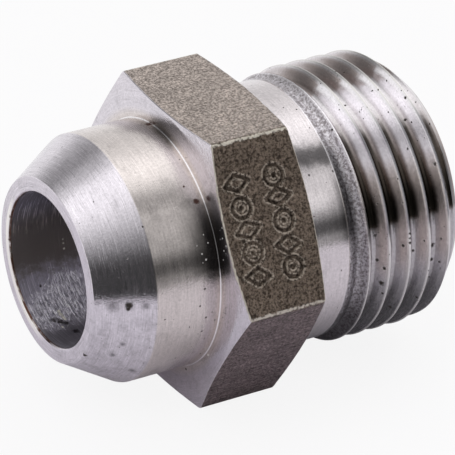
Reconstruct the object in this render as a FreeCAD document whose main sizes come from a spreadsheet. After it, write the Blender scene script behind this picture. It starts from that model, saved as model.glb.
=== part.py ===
import FreeCAD, Part
import os
import Sketcher

# A weld adapter for hydraulic tube, turned from one length of hexagon bar.
# The axis lies along X: a bevelled weld spigot at -X, the hexagon, and at +X a stud with a
# rolled metric thread, a 24 degree cone and a seat for the tube.
# The origin is on the axis, in the plane of the hexagon's face on the thread side.
# One flat of the hexagon faces straight up and the opposite one is what the adapter lies on.

os.makedirs("parts", exist_ok=True)
doc = FreeCAD.newDocument("tube_adapter")

# Driving dimensions, in millimetres and degrees.
sheet = doc.addObject("Spreadsheet::Sheet", "sizes")
DIMENSIONS = [
    ("across_flats", 19.0),         # hexagon, one spanner size
    ("hexagon_width", 6.2),         # between its two turned faces
    ("hexagon_bevel", 15.0),        # slope of the turned corners, from the face
    ("spigot_diameter", 16.0),      # outside of the pipe that is welded on
    ("spigot_length", 7.8),         # weld face to hexagon
    ("weld_land_diameter", 12.0),   # outside of the flat ring at the weld face
    ("weld_bevel", 31.0),           # slope of the weld bevel, from the axis
    ("corner_relief", 0.3),         # 45 degree corner where spigot and neck meet the hexagon
    ("bore_diameter", 10.0),        # flow bore, right through
    ("bore_edge", 0.2),             # broken edge of the bore at the weld face
    ("stud_length", 11.5),          # hexagon to the end of the thread
    ("neck_diameter", 17.0),        # bare blank beside the hexagon, at the thread's pitch diameter
    ("neck_length", 2.8),
    ("runout_length", 1.2),         # ramp from the neck to the thread's crests
    ("thread_diameter", 18.0),      # M18 x 1.5, right hand
    ("thread_pitch", 1.5),
    ("crest_offset", 3.7),          # hexagon to the first crest on the upper line of the stud
    ("stud_foot_diameter", 15.6),   # end face of the stud, inside its 45 degree chamfer
    ("cone_angle", 24.0),           # included angle of the cone that the cutting ring seats in
    ("cone_mouth_diameter", 14.3),
    ("seat_diameter", 12.1),        # seat for a 12 mm tube
    ("seat_depth", 7.0),            # end face to the shoulder that stops the tube
]
for row, (name, size) in enumerate(DIMENSIONS, start=1):
    sheet.set(f"A{row}", name)
    sheet.set(f"B{row}", str(size))
    sheet.setAlias(f"B{row}", name)
doc.recompute()

# Places along the axis and radii, each worked out from the driving dimensions.
FRONT_FACE = "-sizes.hexagon_width"
WELD_FACE = "-(sizes.hexagon_width + sizes.spigot_length)"
STUD_END = "sizes.stud_length"
CORNER_RADIUS = "(sizes.across_flats / sqrt(3))"
SPIGOT_RADIUS = "(sizes.spigot_diameter / 2)"
LAND_RADIUS = "(sizes.weld_land_diameter / 2)"
NECK_RADIUS = "(sizes.neck_diameter / 2)"
CREST_RADIUS = "(sizes.thread_diameter / 2)"
FOOT_RADIUS = "(sizes.stud_foot_diameter / 2)"
BORE_RADIUS = "(sizes.bore_diameter / 2)"
SEAT_RADIUS = "(sizes.seat_diameter / 2)"
MOUTH_RADIUS = "(sizes.cone_mouth_diameter / 2)"
SWARF = "(sizes.across_flats / 10)"     # how far a cut runs past the bar


def worked_out(expression):
    """The number that an expression on the driving dimensions gives."""
    found = sheet.evalExpression(expression)
    return float(getattr(found, "Value", found))


def origin_feature(body, role):
    for feature in body.Origin.OriginFeatures:
        if feature.Role == role:
            return feature
    raise ValueError(role)


def sketch_on(body, role, name):
    sketch = body.newObject("Sketcher::SketchObject", name)
    sketch.AttachmentSupport = [(origin_feature(body, role), "")]
    sketch.MapMode = "FlatFace"
    return sketch


def tie(sketch, side, axis, expression):
    """Holds one coordinate of the point where a side starts, measured from the sketch's origin."""
    place = worked_out(expression)
    if place < 0:
        index = sketch.addConstraint(Sketcher.Constraint(axis, side, 1, -1, 1, -place))
        sketch.setExpression(f"Constraints[{index}]", f"-({expression})")
    else:
        index = sketch.addConstraint(Sketcher.Constraint(axis, -1, 1, side, 1, place))
        sketch.setExpression(f"Constraints[{index}]", expression)


def closed_outline(sketch, corners):
    """Joins the corners in turn by straight sides and ties each corner to the sizes."""
    points = [FreeCAD.Vector(worked_out(x), worked_out(y), 0) for x, y in corners]
    following = points[1:] + points[:1]
    sides = [sketch.addGeometry(Part.LineSegment(*ends), False) for ends in zip(points, following)]
    for index, (x, y) in enumerate(corners):
        sketch.addConstraint(Sketcher.Constraint("Coincident", sides[index - 1], 2, sides[index], 1))
        tie(sketch, sides[index], "DistanceX", x)
        tie(sketch, sides[index], "DistanceY", y)


body = doc.addObject("PartDesign::Body", "adapter_body")
body.Label = "adapter_body"

# The hexagon bar, as long as the adapter, with one flat on top.
bar_section = sketch_on(body, "YZ_Plane", "bar_section")
bar_section.setExpression("AttachmentOffset.Base.z", WELD_FACE)
HALF_FLATS = "(sizes.across_flats / 2)"
closed_outline(bar_section, [
    (CORNER_RADIUS, "0"),
    (f"{CORNER_RADIUS} / 2", HALF_FLATS),
    (f"-{CORNER_RADIUS} / 2", HALF_FLATS),
    (f"-{CORNER_RADIUS}", "0"),
    (f"-{CORNER_RADIUS} / 2", f"-{HALF_FLATS}"),
    (f"{CORNER_RADIUS} / 2", f"-{HALF_FLATS}"),
])
bar = body.newObject("PartDesign::Pad", "bar")
bar.Profile = bar_section
bar.setExpression("Length", "sizes.spigot_length + sizes.hexagon_width + sizes.stud_length")


def turned(name, corners):
    """Turns away what the closed outline sweeps about the axis."""
    outline = sketch_on(body, "XZ_Plane", f"{name}_outline")
    closed_outline(outline, corners)
    cut = body.newObject("PartDesign::Groove", name)
    cut.Profile = outline
    cut.ReferenceAxis = (outline, ["H_Axis"])
    cut.Angle = 360
    return cut


# The weld spigot: land, bevel, plain cylinder, and the hexagon's front face with its corners
# turned off at a slant.
CLEAR_RADIUS = f"({CORNER_RADIUS} + {SWARF})"
CORNER_FALL = f"({CLEAR_RADIUS} - {HALF_FLATS}) * tan(sizes.hexagon_bevel * 1deg)"
weld_side = turned("weld_side", [
    (f"{WELD_FACE} - {SWARF}", LAND_RADIUS),
    (WELD_FACE, LAND_RADIUS),
    (f"{WELD_FACE} + ({SPIGOT_RADIUS} - {LAND_RADIUS}) / tan(sizes.weld_bevel * 1deg)", SPIGOT_RADIUS),
    (f"{FRONT_FACE} - sizes.corner_relief", SPIGOT_RADIUS),
    (FRONT_FACE, f"{SPIGOT_RADIUS} + sizes.corner_relief"),
    (FRONT_FACE, HALF_FLATS),
    (f"{FRONT_FACE} + {CORNER_FALL}", CLEAR_RADIUS),
    (f"{WELD_FACE} - {SWARF}", CLEAR_RADIUS),
])

# The stud: neck, ramp up to the thread's crests, thread blank and 45 degree end chamfer.
stud_side = turned("stud_side", [
    (f"{STUD_END} + {SWARF}", FOOT_RADIUS),
    (STUD_END, FOOT_RADIUS),
    (f"{STUD_END} - ({CREST_RADIUS} - {FOOT_RADIUS})", CREST_RADIUS),
    ("sizes.neck_length + sizes.runout_length", CREST_RADIUS),
    ("sizes.neck_length", NECK_RADIUS),
    ("sizes.corner_relief", NECK_RADIUS),
    ("0", f"{NECK_RADIUS} + sizes.corner_relief"),
    ("0", HALF_FLATS),
    (f"-{CORNER_FALL}", CLEAR_RADIUS),
    (f"{STUD_END} + {SWARF}", CLEAR_RADIUS),
])

# The inside: flow bore, tube seat and the cone that opens towards the end of the stud.
CONE_SLOPE = "tan(sizes.cone_angle * 1deg / 2)"
CONE_LENGTH = f"(({MOUTH_RADIUS} - {SEAT_RADIUS}) / {CONE_SLOPE})"
inside = turned("inside", [
    (f"{WELD_FACE} - sizes.bore_edge", "0"),
    (f"{WELD_FACE} - sizes.bore_edge", f"{BORE_RADIUS} + 2 * sizes.bore_edge"),
    (f"{WELD_FACE} + sizes.bore_edge", BORE_RADIUS),
    (f"{STUD_END} - sizes.seat_depth", BORE_RADIUS),
    (f"{STUD_END} - sizes.seat_depth", SEAT_RADIUS),
    (f"{STUD_END} - {CONE_LENGTH}", SEAT_RADIUS),
    (f"{STUD_END} + {SWARF}", f"{MOUTH_RADIUS} + {SWARF} * {CONE_SLOPE}"),
    (f"{STUD_END} + {SWARF}", "0"),
])

# The thread: a 60 degree groove with a flat root, on the proportions of the ISO metric thread.
# It follows a right-hand helix and starts beside the neck, where it rises out of the steel
# within one turn, as the rolling dies leave it. It runs on past the end of the stud.
ROOT_RADIUS = f"({CREST_RADIUS} - 0.61343 * sizes.thread_pitch)"
CREST_HALF = "(sizes.thread_pitch / 16)"
GROOVE_PROUD = "(0.05 * sizes.thread_pitch)"     # how far the section stands out of the blank
RUNOUT_CLEARANCE = "(0.1 * sizes.thread_pitch)"  # and how far it ends above the neck
GROOVE_MIDDLE = "(sizes.crest_offset + sizes.thread_pitch / 2)"
GROOVE_TOP = f"({CREST_RADIUS} + {GROOVE_PROUD})"
MOUTH_HALF = f"(sizes.thread_pitch / 2 - {CREST_HALF})"
TOP_HALF = f"({MOUTH_HALF} + {GROOVE_PROUD} * tan(30deg))"
ROOT_HALF = f"({MOUTH_HALF} - ({CREST_RADIUS} - {ROOT_RADIUS}) * tan(30deg))"
groove_section = sketch_on(body, "XZ_Plane", "groove_section")
closed_outline(groove_section, [
    (f"{GROOVE_MIDDLE} - {TOP_HALF}", GROOVE_TOP),
    (f"{GROOVE_MIDDLE} - {ROOT_HALF}", ROOT_RADIUS),
    (f"{GROOVE_MIDDLE} + {ROOT_HALF}", ROOT_RADIUS),
    (f"{GROOVE_MIDDLE} + {TOP_HALF}", GROOVE_TOP),
])


def helical_groove(name, mode):
    """Cuts the groove's section along a right-hand helix about the axis."""
    groove = body.newObject("PartDesign::SubtractiveHelix", name)
    groove.Profile = groove_section
    groove.ReferenceAxis = (groove_section, ["H_Axis"])
    groove.Mode = mode
    groove.LeftHanded = False
    return groove


runout = helical_groove("thread_runout", "height-turns-growth")
runout.Reversed = True
runout.Turns = 1
runout.setExpression("Height", "sizes.thread_pitch")
runout.setExpression("Growth", f"{NECK_RADIUS} + {RUNOUT_CLEARANCE} - {ROOT_RADIUS}")
doc.recompute()
thread = helical_groove("thread", "pitch-height-angle")
thread.setExpression("Pitch", "sizes.thread_pitch")
thread.setExpression("Height", f"{STUD_END} + sizes.thread_pitch - {GROOVE_MIDDLE}")
doc.recompute()

# Every feature has to be sound, and every cut has to take steel away, before the file is written.
for feature in doc.Objects:
    if {"Invalid", "Error"} & set(feature.State):
        raise RuntimeError(f"{feature.Name} failed: {feature.State}")
stages = [bar, weld_side, stud_side, inside, runout, thread]
for before, after in zip(stages, stages[1:]):
    if after.Shape.Volume > before.Shape.Volume - 1:
        raise RuntimeError(f"{after.Name} cuts nothing")
    print(after.Name, "takes away", round(before.Shape.Volume - after.Shape.Volume, 1), "mm3")
solid = body.Shape
if solid.isNull() or not solid.isValid() or len(solid.Solids) != 1:
    raise RuntimeError(f"{body.Label} is not one sound solid")
solid.exportStep(f"parts/{body.Label}.step")
print(body.Label, "volume", round(solid.Volume, 1), "mm3,", len(solid.Faces), "faces")
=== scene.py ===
import math

import bmesh
import bpy
from mathutils import Matrix, Vector, noise


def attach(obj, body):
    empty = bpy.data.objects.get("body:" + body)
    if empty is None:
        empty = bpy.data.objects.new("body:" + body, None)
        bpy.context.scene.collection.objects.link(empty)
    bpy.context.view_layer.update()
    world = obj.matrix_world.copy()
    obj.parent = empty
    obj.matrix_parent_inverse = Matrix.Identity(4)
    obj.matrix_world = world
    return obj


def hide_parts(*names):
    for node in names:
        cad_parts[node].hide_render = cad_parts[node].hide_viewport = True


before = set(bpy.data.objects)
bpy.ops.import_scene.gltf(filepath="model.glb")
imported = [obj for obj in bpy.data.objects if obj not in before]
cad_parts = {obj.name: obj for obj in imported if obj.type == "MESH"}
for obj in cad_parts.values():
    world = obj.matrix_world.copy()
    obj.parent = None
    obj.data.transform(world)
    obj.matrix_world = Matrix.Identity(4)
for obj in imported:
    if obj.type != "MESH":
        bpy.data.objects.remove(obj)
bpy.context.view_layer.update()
MM = 0.001

# The turned blank: one length of cold-drawn hexagon bar, faced, bored and turned on a lathe to the
# weld spigot with its bevel on one side and to the neck and the bore's cone on the other.
# Angles run from straight up towards -Y, where the flat with the punch marks faces the camera.
WELD_FACE = -14.0
BEVEL_END = -10.67
HEX_FRONT = -6.2
HEX_BACK = 0.0
NECK_END = 2.8
STUD_END = 11.5
LAND_RADIUS = 6.0
SPIGOT_RADIUS = 8.0
NECK_RADIUS = 8.5
STUD_FOOT_RADIUS = 7.5
BORE_RADIUS = 5.0
SEAT_RADIUS = 6.05
SEAT_START, SEAT_END = 4.5, 6.325
MOUTH_RADIUS = 7.15
HALF_FLATS = 9.5
TURNED_CIRCLE = 9.4             # where the slant of the hexagon's corners starts
CORNER_SLANT = math.tan(math.radians(15))
CORNER_ROUNDING = 0.35          # between two flats, as the bar is drawn
EDGE_BREAK = 0.04               # along the turned ends of the flats
EDGE_NICKS = 0.06
NICK_FINENESS = 2.5
COLUMNS = 288                   # points in every ring
ARC_COLUMNS = 5                 # of them on half of each rounded corner
FLAT_ROWS = 18
ARC_STEPS = 5
SECTOR = 2 * math.pi / 6
HALF_SECTOR_COLUMNS = COLUMNS // 12
WELD_DISTANCE = 0.002 * MM


def rounded_path(corners):
    """Follows (x, radius, rounding) corners and replaces each rounded one by an arc."""
    path = []
    for before, (x, radius, rounding), after in zip(corners, corners[1:], corners[2:]):
        here = Vector((x, radius))
        if rounding == 0:
            path.append(here)
            continue
        back = (Vector(before[:2]) - here).normalized()
        on = (Vector(after[:2]) - here).normalized()
        half = back.angle(on) / 2
        centre = here + (back + on).normalized() * rounding / math.sin(half)
        start = here + back * rounding / math.tan(half)
        end = here + on * rounding / math.tan(half)
        swing = (start - centre).angle_signed(end - centre)
        path.append(start + back * rounding / 4)
        for step in range(ARC_STEPS + 1):
            turn = Matrix.Rotation(-swing * step / ARC_STEPS, 2)
            path.append(centre + turn @ (start - centre))
        path.append(end + on * rounding / 4)
    return path


def hexagon_column(column):
    """Angle and radius of a column on the hexagon, where columns gather on the rounded corners."""
    sector, place = divmod(column + HALF_SECTOR_COLUMNS, 2 * HALF_SECTOR_COLUMNS)
    from_corner = min(place, 2 * HALF_SECTOR_COLUMNS - place)
    arc_centre = (HALF_FLATS - CORNER_ROUNDING) / math.cos(SECTOR / 2)
    if from_corner <= ARC_COLUMNS:
        bend = SECTOR / 2 * from_corner / ARC_COLUMNS
        along = arc_centre + CORNER_ROUNDING * math.cos(bend)
        aside = CORNER_ROUNDING * math.sin(bend)
        offset = math.atan2(aside, along)
        radius = math.hypot(aside, along)
    else:
        share = (from_corner - ARC_COLUMNS) / (HALF_SECTOR_COLUMNS - ARC_COLUMNS)
        across = arc_centre * math.sin(SECTOR / 2) * (1 - share)
        radius = math.hypot(HALF_FLATS, across)
        offset = SECTOR / 2 - math.atan2(across, HALF_FLATS)
    if place <= HALF_SECTOR_COLUMNS:
        return (sector - 0.5) * SECTOR + offset, radius
    return (sector + 0.5) * SECTOR - offset, radius


def on_adapter(x, radius, angle):
    """A place in millimetres, at an angle in radians."""
    return Vector((x, -radius * math.sin(angle), radius * math.cos(angle)))


def round_ring(x, radius):
    return [on_adapter(x, radius, 2 * math.pi * column / COLUMNS) for column in range(COLUMNS)]


def slant_ring(share, face, inwards):
    """A ring on the slanted corners, from the turned circle (0) to the flats (1)."""
    ring = []
    for column in range(COLUMNS):
        round_angle = 2 * math.pi * column / COLUMNS
        angle, flat_radius = hexagon_column(column)
        climb = (flat_radius - EDGE_BREAK - TURNED_CIRCLE) * share
        x = face + inwards * climb * CORNER_SLANT
        angle = round_angle + (angle - round_angle) * share
        ring.append(on_adapter(x, TURNED_CIRCLE + climb, angle))
    return ring


def flat_ring(share):
    """A ring on the flats, from the front edge (0) to the back edge (1)."""
    ring = []
    for column in range(COLUMNS):
        angle, radius = hexagon_column(column)
        fall = (radius - TURNED_CIRCLE) * CORNER_SLANT + EDGE_BREAK
        rough = noise.noise(on_adapter(share, radius, angle) * NICK_FINENESS)
        nicks = abs(rough) * EDGE_NICKS
        front = HEX_FRONT + fall + nicks
        back = HEX_BACK - fall - nicks
        ring.append(on_adapter(front + (back - front) * share, radius, angle))
    return ring


STUD_INSIDE = rounded_path([
    (STUD_END, STUD_FOOT_RADIUS, 0),
    (STUD_END, MOUTH_RADIUS, 0.08),
    (SEAT_END, SEAT_RADIUS, 0.3),
    (SEAT_START, SEAT_RADIUS, 0.1),
    (SEAT_START, BORE_RADIUS, 0),
])
WELD_SIDE = rounded_path([
    (SEAT_START, SEAT_RADIUS, 0),
    (SEAT_START, BORE_RADIUS, 0.1),
    (WELD_FACE, BORE_RADIUS, 0.15),
    (WELD_FACE, LAND_RADIUS, 0.06),
    (BEVEL_END, SPIGOT_RADIUS, 0.25),
    (HEX_FRONT, SPIGOT_RADIUS, 0.045),
    (HEX_FRONT, TURNED_CIRCLE, 0),
])
NECK = rounded_path([
    (HEX_BACK, TURNED_CIRCLE, 0),
    (HEX_BACK, NECK_RADIUS, 0.09),
    (NECK_END, NECK_RADIUS, 0),
])
SURFACES = ["turned", "bored", "bar_skin", "rolled"]
SLANT_SHARES = [0, 0.3, 0.65, 0.95, 1]

rings = [(round_ring(STUD_END, STUD_FOOT_RADIUS), "turned")]
rings += [(round_ring(*place), "bored") for place in STUD_INSIDE]
rings += [(round_ring(*place), "bored" if place.y < BORE_RADIUS + 0.01 else "turned")
          for place in WELD_SIDE]
rings += [(slant_ring(share, HEX_FRONT, 1), "turned") for share in SLANT_SHARES]
rings += [(flat_ring(row / FLAT_ROWS), "bar_skin" if row else "turned")
          for row in range(FLAT_ROWS + 1)]
rings += [(slant_ring(share, HEX_BACK, -1), "turned") for share in reversed(SLANT_SHARES)]
rings += [(round_ring(*place), "turned") for place in NECK]
rings.append((round_ring(NECK_END, NECK_RADIUS), "turned"))

blank = bmesh.new()
rows = [([blank.verts.new(place * MM) for place in ring], surface) for ring, surface in rings]
for (near, _), (far, surface) in zip(rows, rows[1:]):
    for column in range(COLUMNS):
        following = (column + 1) % COLUMNS
        face = blank.faces.new([near[column], near[following], far[following], far[column]])
        face.material_index = SURFACES.index(surface)
bmesh.ops.remove_doubles(blank, verts=blank.verts, dist=WELD_DISTANCE)


# Finer faces on the flat that takes the punch marks.
MARKED_FLAT = SECTOR                # its angle
MARKS_MIDDLE = -3.4
MARKS_REACH = 2.55, 4.0             # along and across the adapter, to each side
MARKED_CUTS = 4
SKIN_LEVEL = HALF_FLATS - 0.1       # above the axis, past which a place is on the flat


def across_flat(y, z):
    """Distance from the marked flat's middle line, of a place or of a node's terms."""
    return -math.cos(MARKED_FLAT) * y - math.sin(MARKED_FLAT) * z


def above_axis(y, z):
    """Height towards the marked flat, of a place or of a node's terms."""
    return -math.sin(MARKED_FLAT) * y + math.cos(MARKED_FLAT) * z


def takes_marks(place):
    near_along = abs(place.x - MARKS_MIDDLE) < MARKS_REACH[0]
    near_across = abs(across_flat(place.y, place.z)) < MARKS_REACH[1]
    return near_along and near_across and above_axis(place.y, place.z) > SKIN_LEVEL


marked_faces = [face for face in blank.faces if takes_marks(face.calc_center_median() / MM)]
marked_edges = dict.fromkeys(edge for face in marked_faces for edge in face.edges)
bmesh.ops.subdivide_edges(blank, edges=list(marked_edges), cuts=MARKED_CUTS, use_grid_fill=True)


class Term:
    """One output of a node, on which Python's operators add Math nodes."""

    def __init__(self, nodes, socket):
        self.nodes = nodes
        self.socket = socket

    def maths(self, operation, *others):
        return self.nodes.add("ShaderNodeMath", {"operation": operation}, [self, *others])

    def reflected(self, operation, other):
        return self.nodes.add("ShaderNodeMath", {"operation": operation}, [other, self])

    def __add__(self, other):
        return self.maths("ADD", other)

    def __sub__(self, other):
        return self.maths("SUBTRACT", other)

    def __mul__(self, other):
        return self.maths("MULTIPLY", other)

    def __truediv__(self, other):
        return self.maths("DIVIDE", other)

    def __pow__(self, other):
        return self.maths("POWER", other)

    def __radd__(self, other):
        return self.reflected("ADD", other)

    def __rsub__(self, other):
        return self.reflected("SUBTRACT", other)

    def __rmul__(self, other):
        return self.reflected("MULTIPLY", other)

    def __neg__(self):
        return self.reflected("SUBTRACT", 0)

    def __abs__(self):
        return self.maths("ABSOLUTE")

    def most(self, other):
        return self.maths("MAXIMUM", other)

    def least(self, other):
        return self.maths("MINIMUM", other)


class Nodes:
    """Adds nodes to one tree and wraps their outputs."""

    def __init__(self, tree):
        self.tree = tree

    def add(self, kind, settings=None, inputs=(), output=0):
        node = self.tree.nodes.new(kind)
        for name, value in (settings or {}).items():
            if name == "stops":
                self.set_stops(node.color_ramp.elements, value)
            else:
                setattr(node, name, value)
        named = inputs.items() if isinstance(inputs, dict) else enumerate(inputs)
        for name, value in named:
            terms = value if isinstance(value, list) else [value]
            if isinstance(terms[0], Term):
                for term in terms:
                    self.tree.links.new(term.socket, node.inputs[name])
            else:
                node.inputs[name].default_value = value
        return Term(self, node.outputs[output]) if node.outputs else None

    @staticmethod
    def set_stops(elements, stops):
        """Gives a ramp its grey stops, each a place from 0 to 1 and a level."""
        elements.remove(elements[1])
        for place, level in stops:
            element = elements[0] if place == stops[0][0] else elements.new(place)
            element.position = place
            element.color = (level, level, level, 1)

    def step(self, value, start, end):
        """Rises smoothly from 0 to 1 while the value goes from start to end."""
        ends = {"Value": value, "From Min": start, "From Max": end, "To Min": 0.0, "To Max": 1.0}
        return self.add("ShaderNodeMapRange", {"interpolation_type": "SMOOTHSTEP"}, ends)

    def fade(self, value, start, end):
        """Falls smoothly from 1 to 0 while the value goes from start to end."""
        return 1 - self.step(value, start, end)

    def between(self, value, start, full, ebb, end):
        """Rises from 0 to 1 between start and full, and falls again between ebb and end."""
        return self.step(value, start, full) * self.fade(value, ebb, end)

    def noise(self, vector, scale, detail=2.0, roughness=0.5):
        inputs = {"Vector": vector, "Scale": scale, "Detail": detail, "Roughness": roughness}
        return self.add("ShaderNodeTexNoise", None, inputs)

    def vector(self, x, y, z):
        return self.add("ShaderNodeCombineXYZ", None, [x, y, z])

    def axes(self, vector):
        """The x, y and z of a vector."""
        return [self.add("ShaderNodeSeparateXYZ", None, [vector], axis) for axis in "XYZ"]

    def blend(self, share, first, second):
        """The first colour where the share is 0 and the second where it is 1."""
        return self.add("ShaderNodeMix", {"data_type": "RGBA"}, {0: share, 6: first, 7: second}, 2)

    def tone(self, colour, strength):
        inputs = {"Vector": colour, "Scale": strength}
        return self.add("ShaderNodeVectorMath", {"operation": "SCALE"}, inputs)


class Finish(Nodes):
    """A surface, with its place in millimetres, its radius and its angle round the axis."""

    def __init__(self, name):
        self.material = bpy.data.materials.new(name)
        self.material.use_nodes = True
        super().__init__(self.material.node_tree)
        self.tree.nodes.clear()
        seat = self.add("ShaderNodeTexCoord", None, (), "Object")
        self.place = self.tone(seat, 1 / MM)
        self.x, self.y, self.z = self.axes(self.place)
        self.radius = (self.y * self.y + self.z * self.z) ** 0.5
        self.degrees = (-self.y).maths("ARCTAN2", self.z) * math.degrees(1)

    def lower_left(self):
        """Grows towards the lower left of the weld face, as the camera sees it."""
        return self.y - self.z * 0.5

    def turning(self, path, fineness, wander, detail=2.0):
        """Marks that run round the axis and change along a path on the turned profile."""
        drawn_out = wander * 0.12
        place = self.vector(path * fineness, self.y * drawn_out, self.z * drawn_out)
        return self.noise(place, 1.0, detail, 0.6)

    def spots(self, places, edge=0.35, raggedness=1.1):
        """A mask of small ragged spots, each at an x, a radius and an angle and with its size."""
        ragged = (self.noise(self.place, 5.0, 3.0, 0.7) - 0.5) * raggedness
        mask = None
        for x, radius, angle, size in places:
            centre = on_adapter(x, radius, math.radians(angle))
            inputs = {0: self.place, 1: centre}
            away = self.add("ShaderNodeVectorMath", {"operation": "DISTANCE"}, inputs, "Value")
            spot = self.fade(away + ragged * size, size * edge, size)
            mask = spot if mask is None else mask.most(spot)
        return mask

    def finished(self, colour, roughness, metallic, height, depth):
        """Wires the surface, whose height of 1 stands for a depth in millimetres."""
        inputs = {"Strength": 1.0, "Distance": depth * MM, "Height": height}
        bump = self.add("ShaderNodeBump", None, inputs)
        shader = self.add("ShaderNodeBsdfPrincipled", None, {
            "Base Color": colour, "Roughness": roughness, "Metallic": metallic, "Normal": bump,
        })
        self.add("ShaderNodeOutputMaterial", None, {"Surface": shader})
        return self.material


# The cool tint is a painted reflection of the lavender paper, on the bevel and the face.
TURNED_WARM = (0.68, 0.625, 0.605, 1)
TURNED_COOL = (0.68, 0.645, 0.69, 1)
ROOT_FILLET_HIGHLIGHT = (0.95, 0.93, 0.95, 1)
LAND_EDGE_HIGHLIGHT = (0.97, 0.95, 0.9, 1)
BARE_NICK = (0.85, 0.84, 0.82, 1)
OIL_DARK = (0.03, 0.022, 0.018, 1)
RUST = (0.075, 0.032, 0.024, 1)
# Each spot has its x, its radius, its angle in degrees and its size.
TURNED_SPOTS = [
    (-7.67, 8, 90, 0.09), (-7.16, 8, 97, 0.1), (-6.76, 8, 95, 0.07), (-7.29, 8, 105, 0.09),
    (-6.65, 8, 124, 0.09), (-6.2, 8.26, 149, 0.11), (-7.38, 8, 120, 0.08), (-10.14, 8, 92, 0.07),
    (-6.2, 8.59, 94, 0.08), (-6.2, 9.23, 18, 0.08), (-7.32, 8, 82, 0.11),
    (-12.16, 7.11, 83.6, 0.3), (-12.2, 7.09, 85.4, 0.2), (-13.95, 6.03, 125, 0.2),
    (-10.71, 7.97, 48, 0.09), (-11.94, 7.24, 60, 0.07),
    (1.07, 8.5, 45, 0.1), (2.55, 8.5, 13, 0.08), (1.85, 8.5, 10, 0.07), (2.77, 8.5, 46, 0.1),
    (-6.9, 8, 111, 0.06), (-7.9, 8, 128, 0.07), (-8.6, 8, 121, 0.06), (-6.5, 8, 100, 0.08),
]
SMUDGES = [
    (-13.0, 6.6, 84, 0.62), (-12.15, 7.11, 84, 0.5), (-11.3, 7.62, 84, 0.42),
    (-12.6, 6.84, 118, 0.3), (-12.3, 7.02, 108, 0.3), (-11.2, 7.7, 128, 0.35),
]
RUST_SPOTS = [
    (-6.71, 8, 43, 0.26), (-6.36, 8, -8, 0.36),
    (-7.1, 8, 35, 0.1), (-13.9, 5.05, -75, 0.2), (-13.9, 5.05, -95, 0.16),
]
BRIGHT_SPOTS = [
    (-6.72, 8, 62, 0.08), (-7.26, 8, 66, 0.08), (-7.05, 8, 69, 0.09), (-6.2, 8.88, 66, 0.08),
    (-6.2, 8.23, 124, 0.1), (-6.2, 9.26, 57, 0.07), (-7.3, 8, 70, 0.06), (-6.2, 9.28, 64, 0.07),
    (-6.9, 8, 58, 0.05), (-7.5, 8, 62, 0.05), (-6.2, 8.6, 70, 0.06), (-6.2, 9.0, 61, 0.06),
]


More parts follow.
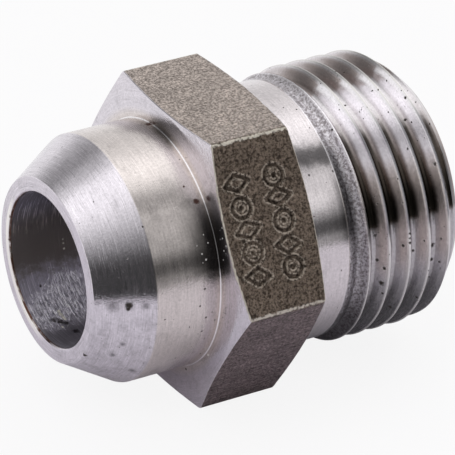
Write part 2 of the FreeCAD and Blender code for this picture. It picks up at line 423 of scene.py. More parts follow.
def turned_finish():
    steel = Finish("turned")
    path = steel.x + steel.radius
    cuts = steel.turning(path, 5.5, 1.6, 3.0)
    scratches = steel.turning(path, 13.0, 7.0, 3.0)
    bright_lines = steel.step(scratches, 0.54, 0.68)
    dark_lines = steel.fade(scratches, 0.32, 0.46)
    grain = steel.noise(steel.place, 7.0, 3.0, 0.7) - 0.5
    clouds = steel.noise(steel.place, 0.9, 4.0, 0.6)
    stain = steel.step(clouds, 0.52, 0.72)
    specks = steel.fade(steel.noise(steel.place, 5.0, 1.0), 0.2, 0.23)
    dark = steel.spots(TURNED_SPOTS).most(specks)
    rust = steel.spots(RUST_SPOTS)
    smudge = steel.spots(SMUDGES, 0.0, 0.7)
    bright = steel.spots(BRIGHT_SPOTS)
    shaken = steel.degrees + (clouds - 0.5) * 14

    bevel = steel.fade(steel.x, BEVEL_END - 0.05, BEVEL_END + 0.05)
    spigot = steel.fade(steel.x, HEX_FRONT - 0.1, HEX_FRONT) * (1 - bevel)
    neck = steel.step(steel.x, HEX_BACK - 0.05, HEX_BACK + 0.05)
    face = steel.step(steel.radius, NECK_RADIUS - 0.35, NECK_RADIUS + 0.35)
    on_face = steel.step(steel.radius, SPIGOT_RADIUS + 0.05, SPIGOT_RADIUS + 0.3)
    from_face = abs(steel.x - HEX_FRONT)
    climb = (steel.radius - SPIGOT_RADIUS).most(0.0)

    # Painted shade in the spigot's root, on its near lower side and at its top, reaching onto the
    # face.
    from_root = from_face * 1.1 + climb * 0.55 + (clouds - 0.5) * 0.5
    low_root_shade = steel.between(shaken, 36, 58, 73, 80) * steel.fade(from_root, 0.8, 2.8)
    low_root_shade = low_root_shade * (1 - 0.45 * on_face)
    top_root_shade = steel.fade(abs(shaken - 4), 3, 14) * steel.fade(from_root, 0.1, 0.8)
    root_shade = low_root_shade.most(top_root_shade * 0.75)
    # Painted dark reflection bands round the neck and the spigot.
    neck_dark_band = neck * steel.between(shaken, 30, 36, 39, 45)
    spigot_dark_band = (1 - neck) * (1 - bevel) * steel.between(shaken, 41, 47, 56, 64)
    # Painted shade at the neck's end, in the corner beside the thread.
    neck_end_shade = steel.step(steel.x, 2.2, NECK_END)
    neck_end_shade = neck_end_shade * steel.step(shaken, 40, 55) * steel.fade(steel.degrees, 74, 80)
    # Darker mottling on the bevel's lower side.
    mottle = steel.step(steel.noise(steel.place, 1.2, 5.0, 0.7), 0.44, 0.66)
    bevel_low_mottle = mottle * bevel * steel.between(steel.degrees, 84, 96, 150, 178)

    lines = (0.6 + 0.4 * bevel) * (bright_lines - dark_lines)
    # Painted reflection: the bevel and the face are painted cooler than the rest.
    colour = steel.blend(bevel.most(face), TURNED_WARM, TURNED_COOL)
    colour = steel.tone(colour, 0.86 + 0.28 * cuts + 0.2 * lines + 0.6 * grain - 0.12 * stain)
    # A painted highlight along the fillet in the spigot's root.
    root = steel.fade(from_face + climb, 0.05, 0.09)
    colour = steel.blend(0.8 * root, colour, ROOT_FILLET_HIGHLIGHT)
    # Painted highlight: the neck beside the hexagon is lighter inside its dark reflection band.
    neck_band_highlight = neck * steel.fade(steel.x, 1.2, 2.4) * steel.between(steel.degrees, 50, 60, 73, 80)
    colour = steel.tone(colour, 1 + 0.4 * neck_band_highlight)
    colour = steel.tone(colour, 1 - 0.62 * neck_dark_band - 0.28 * spigot_dark_band - 0.2 * bevel_low_mottle)
    colour = steel.tone(colour, (1 - 0.76 * root_shade) * (1 - 0.6 * smudge) * (1 - 0.6 * neck_end_shade))

    # A painted highlight on the land's inner edge, and the rusty lip of the bore, both at its lower
    # left.
    edge = steel.fade(steel.radius, BORE_RADIUS + 0.35, BORE_RADIUS + 0.5)
    edge = edge * steel.fade(steel.x, WELD_FACE + 0.1, WELD_FACE + 0.2)
    colour = steel.blend(edge * steel.step(steel.lower_left(), 2.5, 4.5), colour, LAND_EDGE_HIGHLIGHT)
    lip = steel.fade(steel.radius, BORE_RADIUS + 0.05, BORE_RADIUS + 0.1)
    lip = lip * steel.fade(steel.x, WELD_FACE + 0.2, WELD_FACE + 0.3)
    lip = lip * steel.step(steel.lower_left(), 0.0, 1.5) * steel.step(clouds, 0.2, 0.6)
    colour = steel.blend(rust.most(lip), colour, RUST)
    colour = steel.blend(bright, colour, BARE_NICK)
    colour = steel.blend(dark, colour, OIL_DARK)

    roughness = 0.08 + 0.08 * cuts + 0.06 * stain + 0.07 * spigot + 0.3 * dark.most(rust)
    metallic = (1 - 0.6 * dark.most(rust)) * (1 - bright)
    shallow = 1 - 0.6 * steel.between(steel.degrees, 48, 62, 72, 80)
    height = (0.5 * cuts + 0.25 * lines + 1.5 * grain) * shallow - 1.5 * dark
    return steel.finished(colour, roughness, metallic, height, depth=0.005)


BORE_SHADE = (0.38, 0.345, 0.32, 1)
BORE_SKY = (0.54, 0.52, 0.6, 1)
BORE_BELOW_LIT = (0.78, 0.75, 0.83, 1)
BORE_NICK = (0.8, 0.76, 0.68, 1)
LIP_RUST = (0.2, 0.11, 0.08, 1)
# Where the drill tore the bore near the weld face, with its bright and dark nicks.
TORN_PATCHES = [(-11.1, 5, -150, 2.4), (-12.6, 5, -156, 2.0), (-10.4, 5, -140, 1.6)]
BRIGHT_NICKS = [
    (-12.0, 5, -157, 0.16), (-11.98, 5, -160, 0.2), (-11.95, 5, -163, 0.18),
    (-11.9, 5, -165, 0.14), (-10.2, 5, -112, 0.08), (-10.2, 5, -108, 0.08),
    (-10.2, 5, -105, 0.06), (-12.4, 5, -172, 0.12),
]
DARK_NICKS = [
    (-12.3, 5, -166, 0.36), (-12.6, 5, -163, 0.36), (-12.45, 5, -134, 0.14), (-12.0, 5, -169, 0.3),
    (-11.85, 5, 179, 0.35),
]


def bored_finish():
    steel = Finish("bored")
    cuts = steel.turning(steel.x, 9.0, 3.0, 4.0)
    scratches = steel.turning(steel.x, 15.0, 3.0, 3.0)
    bright_lines = steel.step(scratches, 0.5, 0.68)
    streaks = steel.step(steel.turning(steel.x, 13.0, 6.0, 3.0), 0.48, 0.66)
    torn = steel.noise(steel.place, 2.2, 5.0, 0.7)
    shaken = steel.z + (torn - 0.5) * 2.4
    upper = steel.step(shaken, -0.6, 0.4) * (0.35 + 0.65 * steel.fade(steel.z, 1.4, 3.0))
    smooth = steel.between(shaken, -3.2, -2.2, -0.6, 0.2)
    # The bore's lower wall, painted lighter where light falls in.
    below = steel.fade(shaken, -3.3, -2.1)
    bottom = below * steel.fade(steel.y, 0.1, 1.3)
    patch = steel.spots(TORN_PATCHES, 0.2, 1.5)
    drawn_out = steel.vector(steel.x * 11.0, steel.y * 2.5, steel.z * 2.5)
    grit = steel.noise(drawn_out, 1.0, 4.0, 0.75)
    chips = steel.step(grit, 0.46, 0.66) * patch
    lip = steel.fade(steel.x, WELD_FACE + 0.12, WELD_FACE + 0.2)
    lip = lip * steel.step(steel.lower_left(), 0.0, 1.5) * steel.step(torn, 0.25, 0.5)
    # Painted light: darker where the bore is in shade, bluish where it mirrors the sky, lighter
    # below.
    colour = steel.blend(steel.step(steel.z, 0.0, 2.5), BORE_SHADE, BORE_SKY)
    colour = steel.blend(below, colour, BORE_BELOW_LIT)
    marks = 1.3 * upper * streaks + below * (0.6 * bright_lines + 0.5 * chips - 0.2 * patch)
    worked = 0.55 + 0.6 * cuts * (1 - smooth) + marks + 0.36 * smooth
    colour = steel.tone(colour, worked * (1 - 0.4 * bottom))
    colour = steel.blend(steel.spots(DARK_NICKS, 0.2, 1.8) * 0.9, colour, OIL_DARK)
    nicks = steel.spots(BRIGHT_NICKS, 0.4, 1.0)
    colour = steel.blend(nicks, colour, BORE_NICK)
    colour = steel.blend(lip, colour, LIP_RUST)
    roughness = 0.34 + 0.2 * torn
    height = cuts + 0.5 * torn + 1.5 * chips
    return steel.finished(colour, roughness, 1 - nicks, height, depth=0.02)


# The dark and the light of the drawn skin's grain, on each kind of flat, partly painted light:
# the upward flat's is painted lighter as it mirrors the softbox, the others' darker as shade.
BAR_SKINS_LIT_AND_SHADED = {
    "upward": ((0.2, 0.168, 0.148, 1), (0.7, 0.615, 0.565, 1)),
    "marked": ((0.06, 0.045, 0.034, 1), (0.3, 0.238, 0.19, 1)),
    "around": ((0.06, 0.045, 0.045, 1), (0.34, 0.275, 0.28, 1)),
}
PIT = (0.035, 0.026, 0.02, 1)
BARE_RIM = (0.6, 0.53, 0.45, 1)
BARE_EDGE = (0.7, 0.65, 0.57, 1)
FLAT_LEVELS = 9.2, 9.4              # above the axis, where a flat's own colour sets in
CORNER_LEVELS = 10.885, 10.92       # radii between which a corner is worn bare


def bar_skin_finish():
    steel = Finish("bar_skin")
    grain = steel.step(steel.noise(steel.place, 6.5, 3.0, 0.75), 0.34, 0.66)
    patches = steel.noise(steel.place, 0.8, 3.0, 0.6)
    drawn = steel.noise(steel.vector(steel.x * 0.4, steel.y * 6.0, steel.z * 6.0), 1.0, 3.0)
    pits = steel.fade(steel.noise(steel.place, 3.2, 4.0, 0.65), 0.38, 0.46)
    marked = steel.step(above_axis(steel.y, steel.z), *FLAT_LEVELS)
    upward = steel.step(steel.z, *FLAT_LEVELS)
    slant = (steel.radius - TURNED_CIRCLE) * CORNER_SLANT
    from_end = (steel.x - HEX_FRONT - slant).least(HEX_BACK - slant - steel.x)
    ragged = (steel.noise(steel.place, 4.0, 4.0, 0.7) - 0.5) * 0.16
    corner_wear = steel.step(steel.radius + ragged, *CORNER_LEVELS)
    end_wear = steel.fade(from_end + ragged, 0.02, 0.07)
    wear = corner_wear.most(end_wear)
    struck = steel.add("ShaderNodeAttribute", {"attribute_name": "struck"}, (), "Fac")
    rim = steel.add("ShaderNodeAttribute", {"attribute_name": "rim"}, (), "Fac")
    lit_and_shaded_skins = {place: steel.blend(grain, *shades) for place, shades in BAR_SKINS_LIT_AND_SHADED.items()}
    scale = steel.blend(upward, lit_and_shaded_skins["around"], lit_and_shaded_skins["upward"])
    scale = steel.blend(marked, scale, lit_and_shaded_skins["marked"])
    streaks = 0.6 + 0.8 * (1 - marked.most(upward))
    scale = steel.tone(scale, 0.75 + 0.5 * patches + (drawn - 0.5) * streaks)
    scale = steel.blend(pits * (0.2 + 0.6 * marked), scale, PIT)
    # Painted shade inside the punched grooves.
    scale = steel.tone(scale, 1 - 0.45 * struck)
    scale = steel.blend(rim * steel.step(grain + patches, 0.6, 1.3), scale, BARE_RIM)
    colour = steel.blend(wear, scale, BARE_EDGE)
    roughness = 0.5 + 0.15 * grain - 0.2 * wear
    height = grain - (0.6 + marked) * pits
    return steel.finished(colour, roughness, 0.9, height, depth=0.03)


# The rolled thread: M18 x 1.5, right hand. Flat dies squeeze it out of the 17 mm blank, which
# leaves a seam along each crest and a crushed, grainy ramp where it runs out beside the neck.
# The tree bends a flat grid round the axis so that its rows follow the helix.
PITCH = 1.5
FIRST_CREST = 3.7               # on the upper line of the stud
CREST_RADIUS = 9.0
ROOT_DEPTH = 0.92
THREAD = {
    "Pitch": PITCH,
    "Crest Radius": CREST_RADIUS,
    "Root Depth": ROOT_DEPTH,
    "Neck Radius": NECK_RADIUS,
    "First Crest": FIRST_CREST,
    "Run-out Start": NECK_END,
    "Run-out Length": 1.5,
    "Stud End": STUD_END,
    "Stud Foot Radius": STUD_FOOT_RADIUS,
    "Crest Rounding": 0.03,
    "Root Rounding": 0.25,
    "Seam Depth": 0.015,
    "Crushed Height": 0.03,
}
ROWS_PER_PITCH = 20
ROWS_GATHERED = 0.6             # towards crests and roots, from 0 to 1
CREST_SHARE = 0.06              # of the pitch
SEAM_STEEPNESS = 60             # from a crest's middle, per pitch
FIRST_TURN, LAST_TURN = -2, 6


def geometry_tree(name, sizes):
    """A Geometry Nodes tree with a number input for each size, and its inputs as terms."""
    tree = bpy.data.node_groups.new(name, "GeometryNodeTree")
    tree.interface.new_socket("Start", in_out="INPUT", socket_type="NodeSocketGeometry")
    for size in sizes:
        tree.interface.new_socket(size, in_out="INPUT", socket_type="NodeSocketFloat")
    tree.interface.new_socket("Material", in_out="INPUT", socket_type="NodeSocketMaterial")
    tree.interface.new_socket("Mesh", in_out="OUTPUT", socket_type="NodeSocketGeometry")
    nodes = Nodes(tree)
    entry = tree.nodes.new("NodeGroupInput")
    inputs = {socket.name: Term(nodes, socket) for socket in entry.outputs if socket.name}
    return tree, nodes, inputs


def grown(name, tree, values, start=None):
    """The plain mesh that a tree makes from a start mesh with the given values of its inputs."""
    holder = bpy.data.objects.new(name, start or bpy.data.meshes.new(name))
    bpy.context.scene.collection.objects.link(holder)
    modifier = holder.modifiers.new(name, "NODES")
    modifier.node_group = tree
    for socket in tree.interface.items_tree:
        if socket.in_out == "INPUT" and socket.name in values:
            modifier[socket.identifier] = values[socket.name]
    graph = bpy.context.evaluated_depsgraph_get()
    mesh = bpy.data.meshes.new_from_object(
        holder.evaluated_get(graph), preserve_all_data_layers=True, depsgraph=graph
    )
    bpy.data.objects.remove(holder)
    return mesh


FLANK_COOL = (0.85, 0.825, 0.855, 1)
FLANK_WARM = (0.86, 0.79, 0.77, 1)
FLANK_DARK_REFLECTION = (0.36, 0.3, 0.285, 1)
VALLEY = (0.7, 0.67, 0.69, 1)
VALLEY_BROWN_SHADE = (0.2, 0.145, 0.115, 1)
VALLEY_DARK_SHADE = (0.06, 0.052, 0.043, 1)
CREST_LIGHT = (0.76, 0.74, 0.73, 1)
CREST_SHADED = (0.27, 0.265, 0.28, 1)
CRUSHED_LOW = (0.3, 0.27, 0.28, 1)
CRUSHED_HIGH = (0.74, 0.71, 0.75, 1)
END_RUST = (0.3, 0.21, 0.16, 1)
THREAD_SPOTS = [
    (9.63, 8.87, 23, 0.14), (9.25, 8.18, 31, 0.13), (8.17, 8.79, 45, 0.13), (9.71, 8.79, 54, 0.17),
    (4.95, 8.18, 78, 0.13), (5.05, 8.26, 90, 0.16), (5.33, 8.66, 101, 0.26), (5.33, 8.71, 93, 0.17),
    (8.5, 8.84, 116, 0.16), (9.32, 8.08, 91, 0.22), (9.41, 8.08, 99, 0.17), (9.73, 8.51, 99, 0.13),
    (7.04, 8.96, 79, 0.12), (7.04, 8.96, 81, 0.13), (7.04, 8.96, 83, 0.12), (6.74, 8.61, 85, 0.16),
    (7.88, 8.09, 91, 0.13), (6.9, 8.63, 121, 0.2), (5.14, 8.6, 64, 0.1), (6.79, 8.84, 66, 0.1),
    (6.78, 8.89, 56, 0.1), (9.68, 8.5, 87, 0.12), (8.27, 8.68, 85, 0.1), (5.46, 8.84, 106, 0.13),
    (3.21, 8.43, 83, 0.1), (3.72, 8.81, 29, 0.1), (6.07, 8.09, 15, 0.1),
]


def rolled_finish():
    steel = Finish("rolled")
    along_flank = steel.turning(steel.radius, 8.0, 1.5, 3.0)
    fine = steel.turning(steel.radius, 30.0, 3.0)
    grain = steel.noise(steel.place, 6.0, 3.0, 0.7) - 0.5
    clouds = steel.noise(steel.place, 0.8, 4.0, 0.6)
    depth = CREST_RADIUS - steel.radius - (clouds - 0.5) * 0.2
    valley = steel.step(depth, 0.5, 0.85)
    crest = steel.step(steel.radius, CREST_RADIUS - 0.1, CREST_RADIUS - 0.03)
    past_crest = steel.x - FIRST_CREST - steel.degrees * (PITCH / 360)
    phase = (past_crest / PITCH).maths("FRACT")
    crushed = steel.fade(past_crest, -0.15, 0.05) * steel.step(steel.x, NECK_END, NECK_END + 0.12)
    grit = steel.step(steel.noise(steel.place, 6.0, 3.0, 0.7), 0.38, 0.62)
    specks = steel.fade(steel.noise(steel.place, 4.2, 1.5), 0.25, 0.28)
    dark = steel.spots(THREAD_SPOTS).most(specks)
    shaken = steel.degrees + (clouds - 0.5) * 16

    # Painted dark reflection on the flanks beyond the top line, then painted shade in the valleys
    # of the near side.
    flank_dark_reflection = (0.5 + 0.4 * steel.step(shaken, -30, -18)) * steel.step(shaken, -70, -50)
    flank_dark_reflection = flank_dark_reflection * steel.fade(shaken, 0, 5) * steel.fade(phase, 0.86, 0.97)
    # Painted shade in the valleys of the near side, in a brown that is partly their own.
    brown_valley_shade = valley * steel.step(shaken, 10, 58) * steel.fade(steel.degrees, 73, 77)
    bottom = CREST_RADIUS - ROOT_DEPTH
    seat = steel.fade(steel.radius, bottom, bottom + 0.1)
    # Painted shadow on the near side, along the roots and just behind each crest.
    valley_dark_shade = steel.step(depth, 0.4, 0.8) * steel.step(shaken, 56, 66)
    valley_dark_shade = valley_dark_shade + 0.85 * seat * steel.step(shaken, 41, 49)
    behind_crest = steel.between(phase, 0.34, 0.42, 0.5, 0.72) * steel.step(shaken, 24, 36)
    valley_dark_shade = valley_dark_shade.most(0.9 * behind_crest).least(1.0) * steel.fade(steel.degrees, 73, 76)
    # Painted shade: the thread is darker from 42 degrees round, and darker still from 98.
    below = steel.step(steel.degrees, 42, 60) * 0.33 + steel.step(steel.degrees, 98, 122) * 0.42
    below = below * steel.fade(steel.degrees, 150, 178)

    # The near side's flanks are painted warmer, a painted reflection.
    flank = steel.blend(steel.between(steel.degrees, 44, 60, 90, 104), FLANK_COOL, FLANK_WARM)
    # The valleys are painted darker, partly as shade and partly their own colour.
    colour = steel.blend(valley, flank, VALLEY)
    colour = steel.blend(brown_valley_shade, colour, VALLEY_BROWN_SHADE)
    colour = steel.blend(valley_dark_shade, colour, VALLEY_DARK_SHADE)
    colour = steel.blend(flank_dark_reflection, colour, FLANK_DARK_REFLECTION)
    lines = 0.8 + 0.4 * along_flank + (0.6 + below) * grain
    colour = steel.tone(colour, lines * (1 - below))
    shaded = steel.between(steel.degrees, 22, 38, 74, 80)
    colour = steel.blend(crest, colour, steel.blend(shaded, CREST_LIGHT, CREST_SHADED))
    # Painted shade at the foot of the crushed ramp, beside the neck.
    ramp_foot_shade = steel.fade(steel.x, NECK_END + 0.25, NECK_END + 1.0)
    ramp_foot_shade = ramp_foot_shade * steel.step(shaken, 25, 45) * steel.fade(steel.degrees, 72, 79)
    gritty = steel.blend(grit, CRUSHED_LOW, CRUSHED_HIGH)
    gritty = steel.tone(gritty, (1 - below) * (1 - 0.75 * ramp_foot_shade))
    colour = steel.blend(crushed, colour, gritty)
    rust = steel.step(steel.x + clouds * 0.6, STUD_END - 0.1, STUD_END + 0.3) * 0.6
    colour = steel.blend(rust, colour, END_RUST)
    colour = steel.blend(dark, colour, OIL_DARK)
    roughness = 0.15 + 0.1 * along_flank + 0.14 * crushed + 0.1 * below + 0.3 * dark
    height = 0.2 * along_flank + 0.1 * fine + 1.0 * crushed * grit - dark
    return steel.finished(colour, roughness, 1 - 0.6 * dark, height, depth=0.01)


tree, nodes, size = geometry_tree("rolled_thread", THREAD)
turns = LAST_TURN - FIRST_TURN
grid = nodes.add("GeometryNodeMeshGrid", None, {
    "Size X": 1.0, "Size Y": 1.0,
    "Vertices X": COLUMNS + 1, "Vertices Y": turns * ROWS_PER_PITCH + 1,
})
grid_x, grid_y = nodes.axes(nodes.add("GeometryNodeInputPosition"))[:2]
across = grid_x + 0.5
along = grid_y + 0.5
turn = across * (2 * math.pi)
sine, cosine = turn.maths("SINE"), turn.maths("COSINE")
even = along * turns + FIRST_TURN
gathering = (even * (4 * math.pi)).maths("SINE") * (ROWS_GATHERED / (4 * math.pi))
phase = even - gathering
x = size["First Crest"] + size["Pitch"] * (phase + across)
x = x.most(size["Run-out Start"]).least(size["Stud End"])
from_crest = abs(phase - phase.maths("ROUND"))
# The flanks stand 60 degrees apart, so they fall the root of three times as far as they run.
depth = (from_crest - CREST_SHARE / 2) * size["Pitch"] * math.sqrt(3)
depth = depth.maths("SMOOTH_MAX", 0.0, size["Crest Rounding"])
depth = depth.maths("SMOOTH_MIN", size["Root Depth"], size["Root Rounding"])
seam = size["Seam Depth"] * (1 - from_crest * SEAM_STEEPNESS).most(0.0)
full = size["Crest Radius"] - depth - seam
ramp = nodes.step(x, size["Run-out Start"], size["Run-out Start"] + size["Run-out Length"])
plain = nodes.vector(x, sine * -NECK_RADIUS, cosine * NECK_RADIUS)
halfway = ramp * (1 - ramp) * 4
crushed = halfway * (nodes.noise(plain, 3.0, 3.0) - 0.5) * 2 * size["Crushed Height"]
radius = size["Neck Radius"] + ramp * (full - size["Neck Radius"]) + crushed
radius = radius.least(size["Stud Foot Radius"] + size["Stud End"] - x)
bent = nodes.tone(nodes.vector(x, sine * -radius, cosine * radius), MM)
placed = nodes.add("GeometryNodeSetPosition", None, {"Geometry": grid, "Position": bent})
inputs = {"Geometry": placed, "Distance": WELD_DISTANCE}
merged = nodes.add("GeometryNodeMergeByDistance", None, inputs)
whole = nodes.add("GeometryNodeRealizeInstances", None, [merged])
inputs = {"Geometry": whole, "Material": size["Material"]}
nodes.add("NodeGroupOutput", None, {"Mesh": nodes.add("GeometryNodeSetMaterial", None, inputs)})

rolled = rolled_finish()
thread_mesh = grown("rolled_thread", tree, {**THREAD, "Material": rolled})
blank_faces = len(blank.faces)
blank.from_mesh(thread_mesh)
blank.faces.ensure_lookup_table()
for face in blank.faces[blank_faces:]:
    face.material_index = SURFACES.index("rolled")
bmesh.ops.remove_doubles(blank, verts=blank.verts, dist=WELD_DISTANCE)
bmesh.ops.dissolve_degenerate(blank, edges=blank.edges, dist=WELD_DISTANCE / 2)
bmesh.ops.recalc_face_normals(blank, faces=blank.faces)

SHARP = math.radians(32)        # past this bend an edge stays crisp
for face in blank.faces:
    face.smooth = True
for edge in blank.edges:
    edge.smooth = edge.calc_face_angle(0) < SHARP

blank_mesh = bpy.data.meshes.new("blank")
blank.to_mesh(blank_mesh)
blank.free()
bar_skin = bar_skin_finish()
for finish in (turned_finish(), bored_finish(), bar_skin, rolled):
    blank_mesh.materials.append(finish)

# The punch marks: two rows of rings and lozenges, struck with hand punches into the flat that
# faces the camera. Each presses a fine groove into the skin of the bar and raises a rim along it.
MARKS = {
    "Rows Apart": 2.6,
    "Step": 1.46,
    "Ring Size": 1.25,
    "Dot Size": 0.22,
    "Lozenge Length": 1.7,
    "Lozenge Width": 1.05,
    "Groove Width": 0.22,
    "Groove Depth": 0.11,
    "Rim Height": 0.03,
    "Unevenness": 0.09,
}
MARKS_IN_A_ROW = 5
PUNCH_SEED = 7
GROOVE_FLOOR, GROOVE_EDGE = 0.1, 0.7    # from the groove's middle, in its widths
RIM_MIDDLE, RIM_REACH = 0.85, 0.4
tree, nodes, size = geometry_tree("punch_marks", MARKS)
places = nodes.add("GeometryNodeMeshGrid", None, {
    "Size X": size["Rows Apart"], "Size Y": size["Step"] * (MARKS_IN_A_ROW - 1),
    "Vertices X": 2, "Vertices Y": MARKS_IN_A_ROW,
})
settings = {"data_type": "FLOAT_VECTOR"}
chance = nodes.add("FunctionNodeRandomValue", settings, {"Seed": PUNCH_SEED})
inputs = [chance, (0.5, 0.5, 0.5)]
either_way = nodes.add("ShaderNodeVectorMath", {"operation": "SUBTRACT"}, inputs)
either_way = nodes.tone(either_way, 2.0)
stray = nodes.tone(either_way, size["Unevenness"])
tilt = nodes.axes(nodes.tone(either_way, size["Unevenness"] * 2))[2]
turned = nodes.vector(0.0, 0.0, tilt)
places = nodes.add("GeometryNodeSetPosition", None, {"Geometry": places, "Offset": stray})
second = nodes.add("GeometryNodeInputIndex").maths("MODULO", 2)


def circle(points, radius):
    inputs = {"Resolution": points, "Radius": radius}
    return nodes.add("GeometryNodeCurvePrimitiveCircle", None, inputs)


def struck_with(punch, chosen, scale):
    """Sets a punch on the chosen places."""
    return nodes.add("GeometryNodeInstanceOnPoints", None, {
        "Points": places, "Selection": chosen, "Instance": punch,
        "Rotation": turned, "Scale": scale,
    })


ring, dot = circle(24, size["Ring Size"] / 2), circle(6, size["Dot Size"] / 4)
rings = nodes.add("GeometryNodeJoinGeometry", None, {0: [ring, dot]})
rings = struck_with(rings, second, (1.0, 1.0, 1.0))
lozenge_size = nodes.vector(size["Lozenge Length"], size["Lozenge Width"], 1.0)
lozenges = struck_with(circle(4, 0.5), 1 - second, lozenge_size)
strokes = nodes.add("GeometryNodeJoinGeometry", None, {0: [rings, lozenges]})
strokes = nodes.add("GeometryNodeRealizeInstances", None, [strokes])
strokes = nodes.add("GeometryNodeCurveToMesh", None, [strokes])
x, y, z = nodes.axes(nodes.tone(nodes.add("GeometryNodeInputPosition"), 1 / MM))
on_flat = above_axis(y, z).maths("GREATER_THAN", SKIN_LEVEL)
drawn = nodes.vector(x - MARKS_MIDDLE, across_flat(y, z), 0.0)
inputs = {0: strokes, "Source Position": drawn}
away = nodes.add("GeometryNodeProximity", {"target_element": "EDGES"}, inputs, "Distance")
away = away / size["Groove Width"]
pressed = nodes.fade(away, GROOVE_FLOOR, GROOVE_EDGE)
rim = nodes.fade(abs(away - RIM_MIDDLE), 0.0, RIM_REACH)
lift = (rim * size["Rim Height"] - pressed * size["Groove Depth"]) * MM
offset = nodes.vector(0.0, lift * -math.sin(MARKED_FLAT), lift * math.cos(MARKED_FLAT))
struck = nodes.add("GeometryNodeSetPosition", None, {
    "Geometry": size["Start"], "Selection": on_flat, "Offset": offset,
})
for name, value in (("struck", pressed), ("rim", rim)):
    inputs = {"Geometry": struck, "Name": name, "Value": value * on_flat}
    struck = nodes.add("GeometryNodeStoreNamedAttribute", None, inputs)
whole = nodes.add("GeometryNodeRealizeInstances", None, [struck])
inputs = {"Geometry": whole, "Selection": on_flat, "Material": size["Material"]}
nodes.add("NodeGroupOutput", None, {"Mesh": nodes.add("GeometryNodeSetMaterial", None, inputs)})

mesh = grown("punch_marks", tree, {**MARKS, "Material": bar_skin}, blank_mesh)
mesh.name = "turned_adapter"
adapter = bpy.data.objects.new("turned_adapter", mesh)
bpy.context.scene.collection.objects.link(adapter)
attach(adapter, "root")
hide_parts("adapter_body")

# The studio: the adapter lies on a white sweep under a large softbox, with a white wall behind
# it and the dark room behind the camera. The front edge of the paper is close to the adapter.
PAPER_CORNERS = [(-600, 300), (600, -420), (600, 600), (-600, 600)]
PAPER_COLOUR = (0.89, 0.865, 0.92, 1)
PAPER_SEEN = 0.88               # how much of it the camera sees as pure white
PAPER_MIRRORED = 0.82           # and the steel, of its far part
FAR_PAPER = 12.0, 35.0          # behind the adapter's axis
WHITE = (1, 1, 1, 1)


def ray(nodes, kind):
    """1 for rays of a kind and 0 for all others."""
    return nodes.add("ShaderNodeLightPath", None, (), kind)


floor_mesh = bpy.data.meshes.new("floor")
floor_mesh.from_pydata(
    [Vector((x, y, -HALF_FLATS)) * MM for x, y in PAPER_CORNERS], [], [(0, 1, 2, 3)]
)
floor = bpy.data.objects.new("floor", floor_mesh)
bpy.context.scene.collection.objects.link(floor)
paper_finish = Finish("floor")
floor_mesh.materials.append(paper_finish.material)
paper = paper_finish.add("ShaderNodeBsdfDiffuse", None, {"Color": PAPER_COLOUR})
glow = paper_finish.add("ShaderNodeEmission", None, {"Color": WHITE, "Strength": 1.0})
far = paper_finish.step(paper_finish.y, *FAR_PAPER)
mirrored = ray(paper_finish, "Is Glossy Ray") * far * PAPER_MIRRORED
white = (ray(paper_finish, "Is Camera Ray") * PAPER_SEEN).most(mirrored)
mixed = paper_finish.add("ShaderNodeMixShader", None, {0: white, 1: paper, 2: glow})
paper_finish.add("ShaderNodeOutputMaterial", None, {"Surface": mixed})

# Degrees from overhead, below 0 behind the adapter, and how bright that part of the room is.
LEFT_LEVELS = [
    (-90, 0.85), (-79, 0.7), (-64, 0.45), (-50, 0.32), (-34, 0.72), (-18, 1.35), (4, 1.27),
    (24, 0.9), (44, 0.42), (54, 0.27), (62, 0.13), (72, 0.06), (84, 0.06), (90, 0.06),
]
RIGHT_LEVELS = [
    (-90, 0.92), (-76, 0.82), (-56, 0.83), (-36, 1.02), (-16, 1.45), (0, 1.2), (7, 0.94),
    (13, 0.5), (23, 0.37), (29, 0.66), (36, 0.84), (50, 0.88), (60, 0.7), (70, 0.3), (77, 0.07),
    (86, 0.08), (90, 0.3),
]
LIGHT_SCALE = 2.0               # a ramp's levels end at 1
WALL_LEFT, WALL_RIGHT = 1.05, 0.8
BACKDROP = 0.97                 # as the camera sees it, which is the paper's shade
BACKDROP_MIRRORED = 0.9
GAP_DARKNESS = 0.7              # between the left wall and the backdrop
world = bpy.data.worlds.new("studio")
bpy.context.scene.world = world
world.use_nodes = True
world.node_tree.nodes.clear()
nodes = Nodes(world.node_tree)
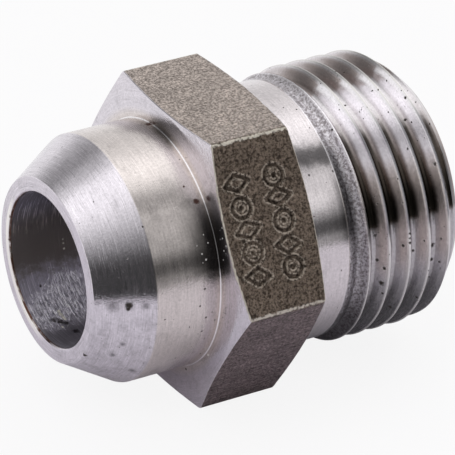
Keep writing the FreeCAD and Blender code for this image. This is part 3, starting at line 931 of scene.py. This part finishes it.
direction = nodes.add("ShaderNodeTexCoord", None, (), "Generated")
to_right, to_back, to_top = nodes.axes(direction)
aloft = (-to_back).maths("ARCTAN2", to_top) * (1 / math.pi) + 0.5


def round_the_axis(levels):
    """Light from each side of the adapter, by degrees from overhead towards the camera's side."""
    stops = [(0.5 + degrees / 180, level / LIGHT_SCALE) for degrees, level in levels]
    return nodes.add("ShaderNodeValToRGB", {"stops": stops}, [aloft]) * LIGHT_SCALE


left = round_the_axis(LEFT_LEVELS)
right = round_the_axis(RIGHT_LEVELS)
room = left + (right - left) * nodes.step(to_right, -0.25, 0.4)
room = room + (WALL_LEFT - room) * nodes.fade(to_right, -0.73, -0.67)
room = room + (WALL_RIGHT - room) * nodes.step(to_right, 0.7, 0.85)
gap = nodes.between(to_right, -0.73, -0.67, -0.45, -0.3)
gap = gap * nodes.step(to_back, 0.1, 0.4) * nodes.fade(to_top, 0.3, 0.5)
room = room * (1 - GAP_DARKNESS * gap)
backdrop = nodes.step(to_back, 0.8, 0.95) * nodes.fade(to_top, 0.05, 0.3)
mirrored = ray(nodes, "Is Glossy Ray") * backdrop * BACKDROP_MIRRORED
white = ray(nodes, "Is Camera Ray").most(mirrored)
strength = white * BACKDROP + (1 - white) * room
sky = nodes.add("ShaderNodeBackground", None, {"Color": WHITE, "Strength": strength})
nodes.add("ShaderNodeOutputWorld", None, {"Surface": sky})

# The camera of the photograph, from the fit of its turned circles, hexagon and crests.
LENS = 305.8                                # millimetres
CAMERA_PLACE = Vector((-114.003, -180.038, 123.127))
CAMERA_TURN = 59.824, -2.326, -30.779       # degrees
FARTHEST = 100                              # metres
camera_data = bpy.data.cameras.new("camera")
camera_data.lens = LENS
camera_data.clip_end = FARTHEST
camera = bpy.data.objects.new("camera", camera_data)
camera.location = CAMERA_PLACE * MM
camera.rotation_euler = [math.radians(turn) for turn in CAMERA_TURN]
bpy.context.scene.collection.objects.link(camera)
bpy.context.scene.camera = camera

bpy.context.scene.view_settings.view_transform = "Standard"
